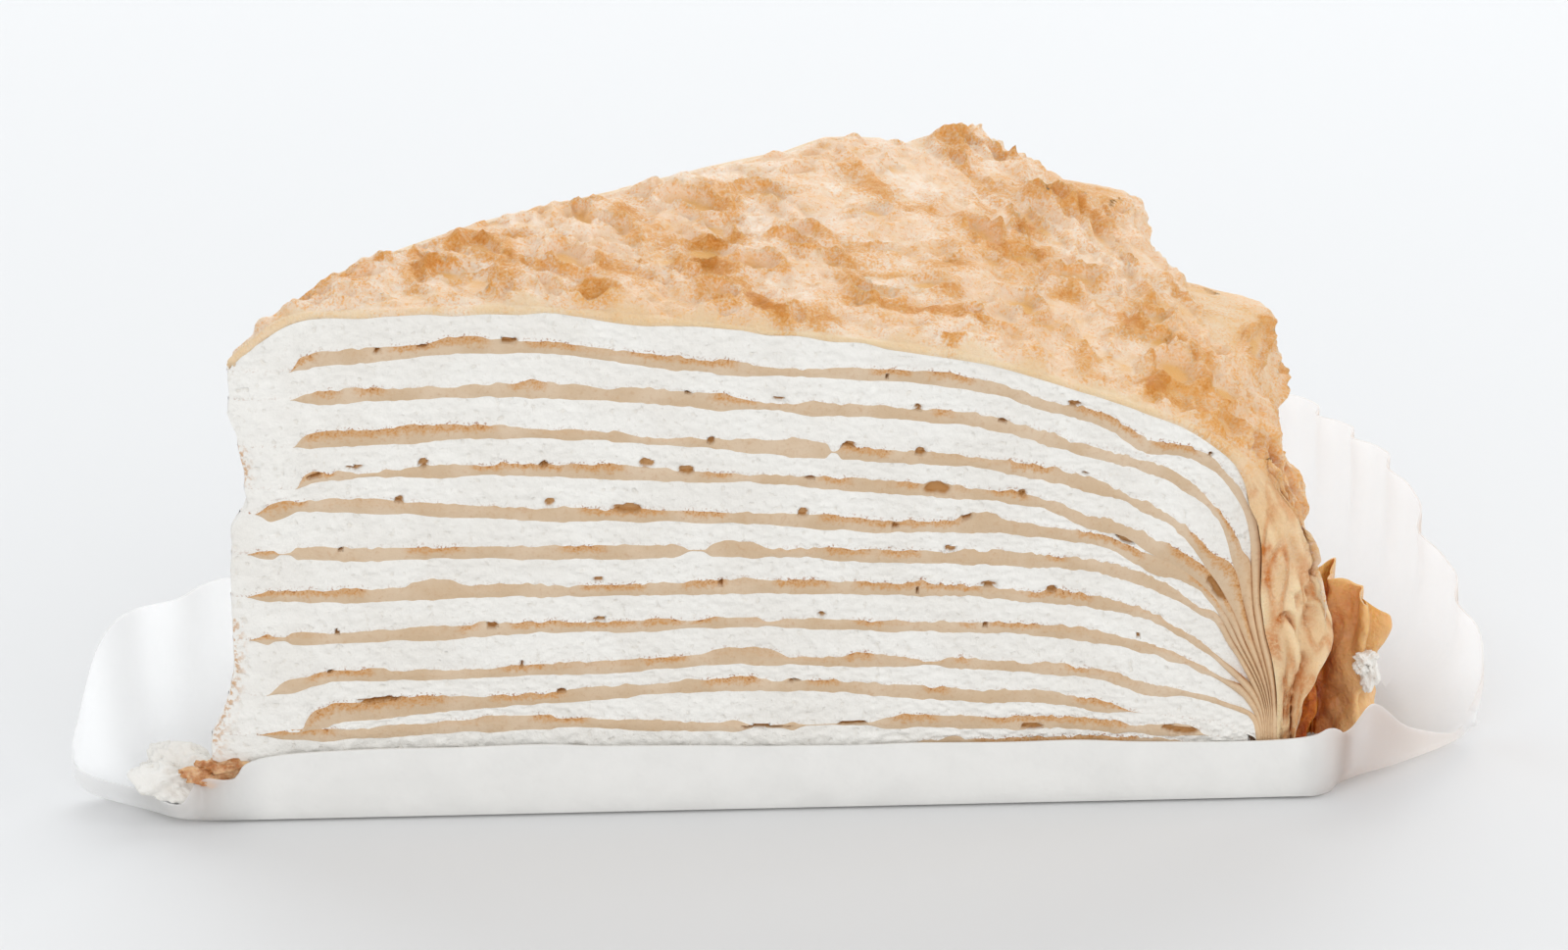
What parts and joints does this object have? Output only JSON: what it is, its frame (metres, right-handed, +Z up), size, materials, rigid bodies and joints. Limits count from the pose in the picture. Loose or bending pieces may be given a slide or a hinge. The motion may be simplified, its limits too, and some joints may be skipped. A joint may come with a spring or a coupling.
{
  "type": "crepe cake slice",
  "caption": "Wedge cut from a crepe cake: thin crepes and whipped cream in level layers under a browned top crepe that drapes over the round rim, on a pleated paper cup.",
  "frame": {"origin": "middle of the paper's underside, under the middle of the whole part's box", "axes": "+X runs along the front cut face from the wedge's tip to its rim, -Y faces out of the front cut face, +Z is up from the surface that the paper rests on"},
  "size_m": [0.1456, 0.0848, 0.0577],
  "materials": {
    "crepe": "matte",
    "cream": "matte",
    "crust": "satin",
    "browned_crepe": "satin",
    "paper": "translucent matte"
  },
  "bodies": {
    "root": {"crepe_01": "crepe", "crepe_02": "crepe", "crepe_03": "crepe", "crepe_04": "crepe", "crepe_05": "crepe", "crepe_06": "crepe", "crepe_07": "crepe", "crepe_08": "crepe", "crepe_09": "crepe", "crepe_10": "crepe", "crepe_11": "crepe", "crepe_12": "crepe", "cream_01": "cream", "cream_02": "cream", "cream_03": "cream", "cream_04": "cream", "cream_05": "cream", "cream_06": "cream", "cream_07": "cream", "cream_08": "cream", "cream_09": "cream", "cream_10": "cream", "cream_11": "cream", "cream_12": "cream", "cream_13": "cream", "crust": "crust", "rim_flap": "browned_crepe", "tip_crumb": "browned_crepe", "tip_smear": "cream", "paper": "paper"}
  },
  "joints": []
}
